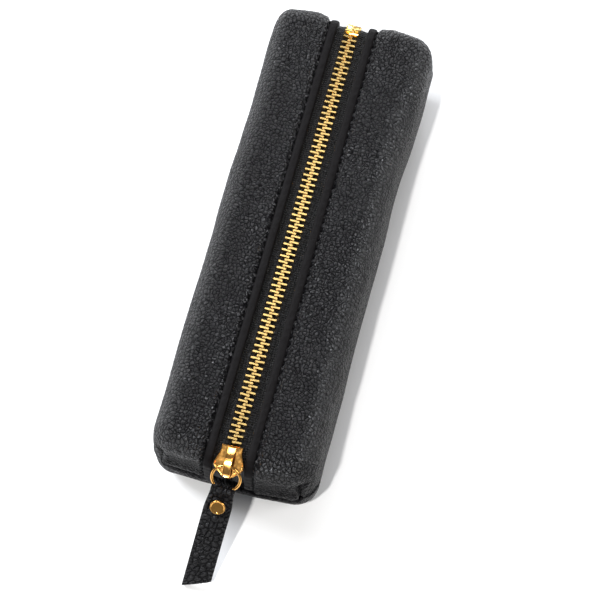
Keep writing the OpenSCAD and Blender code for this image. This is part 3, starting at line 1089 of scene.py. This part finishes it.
class PENCASE_OT_slider(bpy.types.Operator):
    """Make the zip's slider with its raised cap and pawl"""
    bl_idname = "pencase.slider"
    bl_label = "Slider"

    def execute(self, context):
        look = looks(context)["gold"]
        outline = plate_outline()
        parts = [
            stack(outline, [(1.45, 0.1), (1.6, 0.0), (2.2, 0.0), (2.42, 0.14), (2.44, 0.42),
                            (2.36, 0.55), (2.36, 0.7)]),
            stack(outline, [(-2.46, 0.35), (-2.38, 0.12), (-2.2, 0.0), (-1.6, 0.0),
                            (-1.45, 0.1)])]
        for z0, z1 in ((0.55, 1.6), (-1.6, -0.55)):
            for sign in (-1, 1):
                rim = outline[(outline[:, 0] * sign > 0) & (outline[:, 1] > -6.6)]
                rim = rim[np.argsort(-rim[:, 1])]
                inner = rim[::-1] - (sign * 0.85, 0)
                parts.append(stack(np.concatenate([rim, inner]), [(z0, 0.0), (z1, 0.0)]))
        post = np.array([(0, -11.3), (1.0, -10.2), (1.5, -9.3), (0.9, -7.8), (0, -6.6),
                         (-0.9, -7.8), (-1.5, -9.3), (-1.0, -10.2)])
        parts.append(stack(post, [(-1.6, 0), (1.6, 0)]))
        cast("slider", merge(parts), slider_matrix(), look, 24, "gold_metal", "slider_body",
             "slider")
        self.cap(look)
        self.pawl(look)
        return {"FINISHED"}

    def cap(self, look):
        """The raised strip over the ring, bent from one piece."""
        top = np.array([(-0.7, 0.0), (-0.75, 0.55), (-1.5, 1.15), (-3.0, 2.3), (-4.6, 3.4),
                        (-5.5, 3.75), (-6.5, 3.75), (-8.5, 3.4), (-10.4, 2.95), (-11.2, 2.6),
                        (-11.65, 2.0), (-11.75, 0.9), (-11.75, -0.3)])
        low = np.array([(-2.6, 0.0), (-2.9, 0.45), (-3.5, 1.1), (-4.5, 2.05), (-5.2, 2.75),
                        (-5.8, 3.0), (-6.6, 3.0), (-8.5, 2.68), (-10.0, 2.32), (-10.5, 2.0),
                        (-10.7, 1.5), (-10.75, 0.9), (-10.75, -0.3)])
        half = 1.55
        outline = np.concatenate([top, low[::-1]])
        outline[:, 1] += 2.42
        n, m = len(outline), len(top)
        stations = [(-half, 0.12), (-half + 0.1, 0.02), (-half + 0.2, 0), (-half + 0.4, 0),
                    (-half + 0.52, 0.2)]
        stations += [(-x, drop) for x, drop in stations[::-1]]
        verts = []
        for x, drop in stations:
            share = np.where(np.arange(n) < m, drop, 0.0)[:, None]
            dip = outline - share * self.outward(outline)
            verts += [(x, y, z) for y, z in dip]
        faces = [list(f) for f in grid_faces(len(stations), n, wrap=True)]
        last = (len(stations) - 1) * n
        for k in range(m - 1):
            ring = [k, k + 1, n - 2 - k, n - 1 - k]
            faces += [ring[::-1], [v + last for v in ring]]
        cast("slider_bridge", (verts, faces), slider_matrix(), look, 16, "gold_metal",
             "slider_cap", "slider")

    def outward(self, outline):
        """The outward direction at each point of a closed outline."""
        along = np.roll(outline, -1, axis=0) - np.roll(outline, 1, axis=0)
        out = np.stack([along[:, 1], -along[:, 0]], -1)
        out /= np.linalg.norm(out, axis=1, keepdims=True)
        return out if out[5, 1] > 0 else -out

    def pawl(self, look):
        """The sprung leaf under the bridge."""
        spring = [(-0.5, y, z) for y, z in ((-3.3, 2.45), (-3.35, 3.0), (-5.1, 4.7), (-5.4, 4.5),
                                            (-4.1, 3.2), (-4.0, 2.45))]
        spring += [(0.5, y, z) for _, y, z in spring]
        rim = [[k, (k + 1) % 6, (k + 1) % 6 + 6, k + 6] for k in range(6)]
        obj = make_mesh("pawl", moved(spring, slider_matrix()),
                        rim + [list(range(6))[::-1], list(range(6, 12))], look, round_off=False)
        fix_normals(obj)
        named(obj, "steel", "lock_pawl")
        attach(obj, "slider")


class PENCASE_OT_ring(bpy.types.Operator):
    """Make the round pull ring"""
    bl_idname = "pencase.ring"
    bl_label = "Pull ring"

    def execute(self, context):
        look = looks(context)["gold"]
        rows, cols, wire = 96, 20, 0.55
        verts = []
        for i in range(rows):
            a = 2 * math.pi * i / rows
            for j in range(cols):
                b = 2 * math.pi * j / cols
                r = RING_R + wire * math.cos(b)
                verts.append((r * math.sin(a), -RING_R + r * math.cos(a), wire * math.sin(b)))
        i, j = np.meshgrid(np.arange(rows), np.arange(cols), indexing="ij")
        quads = np.stack([i * cols + j, i * cols + (j + 1) % cols,
                          (i + 1) % rows * cols + (j + 1) % cols, (i + 1) % rows * cols + j], -1)
        faces = [list(f) for f in quads.reshape(-1, 4)]
        cast("ring", (verts, faces), ring_matrix(), look, None, "gold_metal", "pull_ring", "ring")
        return {"FINISHED"}


STRAP_L = 45.5
STRAP_T = 1.1
STRAP_HALF_W = 5.25
STRAP_SKEW = 5.5
STRAP_BOW = 0.9
STRAP_BORE = 0.9
STRAP_NECK = 3.4
STRAP_CELL = 2.3
RIVET_AT = 6.8


class PENCASE_OT_strap(bpy.types.Operator):
    """Make the folded leather strap and its rivet"""
    bl_idname = "pencase.strap"
    bl_label = "Strap and rivet"

    def execute(self, context):
        look = looks(context)
        matrix = strap_matrix()
        step = 0.3 * 1
        # The strip's middle line: out along the top, round the wire, back below.
        straight = steps(-STRAP_L, -STRAP_NECK, step)
        shares = np.linspace(0, 1, 10)[1:]
        mid = [(y, 0.5 * STRAP_T + 0.02) for y in straight]
        mid += [(-STRAP_NECK + STRAP_NECK * t, 0.5 * STRAP_T + STRAP_BORE * smooth(t))
                for t in shares]
        turn = STRAP_BORE + STRAP_T / 2
        mid += [(turn * math.cos(a), turn * math.sin(a))
                for a in np.linspace(math.pi / 2, -math.pi / 2, 22)[1:]]
        mid += [(-STRAP_NECK + STRAP_NECK * t, -(0.5 * STRAP_T + STRAP_BORE * smooth(t)))
                for t in np.linspace(1, 0, 10)[1:]]
        mid += [(y, -0.5 * STRAP_T - 0.02) for y in straight[::-1][1:]]
        mid = np.array(mid)
        tangent = np.gradient(mid, axis=0)
        tangent /= np.linalg.norm(tangent, axis=1, keepdims=True)
        out = np.stack([-tangent[:, 1], tangent[:, 0]], -1)
        across = steps(-1, 1, step / STRAP_HALF_W)
        rows, cols = len(mid), len(across)
        width = STRAP_HALF_W * (0.86 + 0.14 * smooth((-mid[:, 0] - 0.5) / 9.0))
        verts_out, verts_in, rest = [], [], []
        arc = path_length(mid)
        for i in range(rows):
            for u in across:
                x = u * width[i]
                cut = 1 - STRAP_SKEW * (u + 1) / 2 / STRAP_L
                y = mid[i, 0] * (cut if mid[i, 0] < -STRAP_NECK else 1)
                edge = 0.28 * abs(u) ** 14
                bow = STRAP_BOW * math.sin(math.pi * min(1, max(0, -y) / STRAP_L)) - 0.25 * u * u
                o = STRAP_T / 2 - edge
                q = STRAP_T / 2 - edge * 0.2
                verts_out.append((x, y + out[i, 0] * o, mid[i, 1] + out[i, 1] * o + bow))
                verts_in.append((x, y - out[i, 0] * q, mid[i, 1] - out[i, 1] * q + bow))
                # A place far from the body's, so the strap gets a grain of its own.
                rest.append((x + 60, arc[i], 20))
        n = rows * cols
        placed = np.array(moved(np.array(verts_out + verts_in), matrix))
        turned = np.array(matrix.to_3x3())
        up = np.stack([np.zeros(rows), out[:, 0], out[:, 1]], -1) @ turned.T
        up = np.tile(np.repeat(up, cols, axis=0), (2, 1))
        obj = make_mesh("strap", placed, two_sided(grid_faces(rows, cols), n), look["strap"],
                        rest=np.array(rest + rest),
                        outer=np.concatenate([np.ones(n), np.zeros(n)]), up=up)
        fix_normals(obj)
        grain(obj, STRAP_CELL * MM, 0.34 * MM, look["strap"])
        named(obj, "grained_leather", "pull_strap")
        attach(obj, "strap")
        self.rivet(look["gold"], matrix @ Matrix.Translation((0, -RIVET_AT, 0)))
        return {"FINISHED"}

    def rivet(self, look, matrix):
        """A flat cap with a raised rim in front and a plain flange behind."""
        lift = STRAP_BOW * math.sin(math.pi * RIVET_AT / STRAP_L)
        front = [(0.02, 0.62), (1.8, 0.6), (2.25, 0.55), (2.4, 0.62), (2.55, 0.8), (2.7, 0.86),
                 (2.83, 0.8), (2.92, 0.6), (2.92, 0.2), (2.8, -0.1), (0.02, -0.1)]
        back = [(0.02, -0.42), (2.2, -0.4), (2.55, -0.3), (2.6, -0.1), (2.5, 0.05), (0.02, 0.05)]
        post = [(1.1, -STRAP_T - 0.1), (1.1, STRAP_T + 0.1)]
        face = turned_piece(front, STRAP_T + lift + 0.05, 48)
        flange = turned_piece(back, -STRAP_T + lift - 0.05, 48)
        cast("rivet_face", face, matrix, look, 50, "gold_metal", "rivet_cap", "strap")
        cast("rivet_back", merge([flange, turned_piece(post, lift, 24)]), matrix, look, 50,
             "gold_metal", "rivet_post", "strap")


def turned_piece(profile, base, cols):
    """Points and faces of a lathe-turned piece from (radius, height) points."""
    angles = [2 * math.pi * j / cols for j in range(cols)]
    verts = [(r * math.cos(a), r * math.sin(a), z + base) for r, z in profile for a in angles]
    return verts, tube_faces(len(profile), cols)


class PENCASE_OT_stage(bpy.types.Operator):
    """Make the floor, the lights and the camera"""
    bl_idname = "pencase.stage"
    bl_label = "Stage"

    def execute(self, context):
        scene = context.scene
        floor = make_mesh("floor", [(-3000, -3000, 0), (3000, -3000, 0), (3000, 3000, 0),
                                    (-3000, 3000, 0)], [[0, 1, 2, 3]], round_off=False)
        paper, tree, shader = new_material("Studio paper", "seamless white paper, matte")
        if tree is not None:
            shader.inputs["Base Color"].default_value = (0.93, 0.93, 0.93, 1)
            shader.inputs["Roughness"].default_value = 0.9
            shader.inputs["Specular IOR Level"].default_value = 0.1
        floor.data.materials.append(paper)
        lights = [
            ("key", (-160, -600, 1220), (0, 0, 10), 60, 10.6, (1.0, 0.99, 0.97)),
            ("top", (-125, 470, 1200), (0, 0, 40), 380, 1.7, (0.94, 0.96, 1.0)),
            ("left", (-800, 250, 620), (0, 0, 10), 500, 14.5, (0.92, 0.95, 1.0)),
            ("rear", (-60, 1150, 430), (0, 20, 20), 500, 9.0, (0.95, 0.97, 1.0)),
            ("right", (900, 50, 650), (0, 0, 10), 500, 5.0, (1.0, 0.98, 0.96)),
        ]
        for name, at, aim, size, power, colour in lights:
            data = bpy.data.lights.new(name, "AREA")
            data.shape = "SQUARE"
            data.size = size * MM
            data.energy = power
            data.color = colour
            lamp = bpy.data.objects.new(name, data)
            lamp.location = Vector(at) * MM
            lamp.rotation_mode = "QUATERNION"
            lamp.rotation_quaternion = (Vector(aim) - Vector(at)).to_track_quat("-Z", "Y")
            scene.collection.objects.link(lamp)
        world = bpy.data.worlds.new("Studio")
        world.use_nodes = True
        back = world.node_tree.nodes["Background"]
        back.inputs["Color"].default_value = (0.94, 0.96, 1, 1)
        back.inputs["Strength"].default_value = 0.23
        scene.world = world
        data = bpy.data.cameras.new("camera")
        data.sensor_width = 36
        data.lens = 128.8
        data.clip_start, data.clip_end = 0.05, 10
        camera = bpy.data.objects.new("camera", data)
        azimuth, elevation, distance = math.radians(14.67), math.radians(68), 842.9
        away = Vector((math.sin(azimuth) * math.cos(elevation),
                       -math.cos(azimuth) * math.cos(elevation), math.sin(elevation)))
        target = Vector((7.09, -17.31, 20)) * MM
        camera.location = target + away * distance * MM
        camera.rotation_mode = "QUATERNION"
        camera.rotation_quaternion = (-away).to_track_quat("-Z", "Y")
        scene.collection.objects.link(camera)
        scene.camera = camera
        scene.view_settings.view_transform = "Standard"
        scene.view_settings.look = "None"
        return {"FINISHED"}


class PENCASE_PT_panel(bpy.types.Panel):
    """Lists the case's pieces and sizes"""
    bl_idname = "PENCASE_PT_panel"
    bl_label = "Pen case"
    bl_space_type = "VIEW_3D"
    bl_region_type = "UI"
    bl_category = "Pen case"

    def draw(self, context):
        for group in (context.scene.pencase_sizes, context.scene.pencase_colours):
            for name in group.__annotations__:
                self.layout.prop(group, name)
        for operator in OPERATORS:
            self.layout.operator(operator.bl_idname)


OPERATORS = (PENCASE_OT_body, PENCASE_OT_lining, PENCASE_OT_bands, PENCASE_OT_tapes,
             PENCASE_OT_teeth, PENCASE_OT_sewing, PENCASE_OT_slider, PENCASE_OT_ring,
             PENCASE_OT_strap, PENCASE_OT_stage)


CLASSES = (PENCASE_Sizes, PENCASE_Colours, *OPERATORS, PENCASE_PT_panel)


def register():
    for cls in CLASSES:
        bpy.utils.register_class(cls)
    bpy.types.Scene.pencase_sizes = PointerProperty(type=PENCASE_Sizes)
    bpy.types.Scene.pencase_colours = PointerProperty(type=PENCASE_Colours)


def unregister():
    del bpy.types.Scene.pencase_colours
    del bpy.types.Scene.pencase_sizes
    for cls in reversed(CLASSES):
        bpy.utils.unregister_class(cls)


def main():
    register()
    for operator in OPERATORS:
        group, name = operator.bl_idname.split(".")
        getattr(getattr(bpy.ops, group), name)()
    bpy.context.view_layer.update()


if __name__ == "__main__":
    main()
